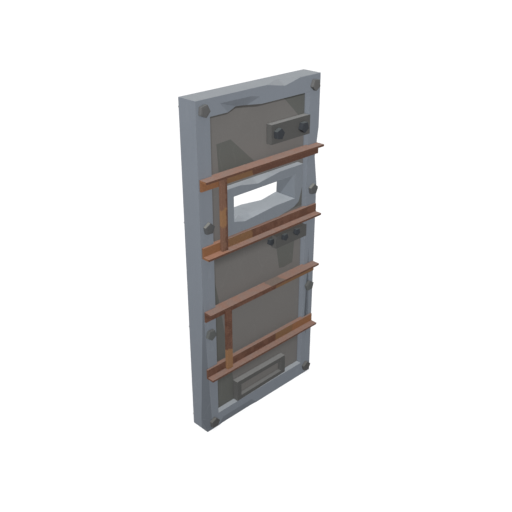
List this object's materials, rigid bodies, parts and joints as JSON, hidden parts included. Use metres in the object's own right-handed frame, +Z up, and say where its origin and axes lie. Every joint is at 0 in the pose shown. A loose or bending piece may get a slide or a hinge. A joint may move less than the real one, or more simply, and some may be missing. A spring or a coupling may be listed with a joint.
{
  "type": "heavy steel door leaf with view slot",
  "caption": "Battered steel door leaf: box-section frame, recessed sheets, lined view slot, rusty angle-iron braces with tie bars, bolted plates and a raised food-hatch frame.",
  "frame": {"origin": "foot of the hinge edge's face, in the middle of the leaf's thickness", "axes": "+X from the hinge edge to the closing edge, +Z up, the braced front faces -Y"},
  "size_m": [0.936, 0.194, 2.04],
  "materials": {
    "frame_paint": "satin",
    "lining_paint": "satin",
    "panel_steel": "matte",
    "rusty_steel": "matte",
    "plate_steel": "matte",
    "hatch_steel": "matte",
    "bolt_steel": "satin"
  },
  "bodies": {
    "root": {"left_stile": "frame_paint", "right_stile": "frame_paint", "top_rail": "frame_paint", "bottom_rail": "frame_paint", "slot_head": "lining_paint", "slot_sill": "lining_paint", "slot_left_jamb": "lining_paint", "slot_right_jamb": "lining_paint", "front_panel": "panel_steel", "back_panel": "panel_steel", "upper_top_brace": "rusty_steel", "upper_bottom_brace": "rusty_steel", "lower_top_brace": "rusty_steel", "lower_bottom_brace": "rusty_steel", "upper_tie_bar": "rusty_steel", "lower_tie_bar": "rusty_steel", "lock_plate": "plate_steel", "keeper_plate": "plate_steel", "hatch_sill_bar": "hatch_steel", "hatch_head_bar": "hatch_steel", "hatch_left_bar": "hatch_steel", "hatch_right_bar": "hatch_steel"}
  },
  "joints": []
}
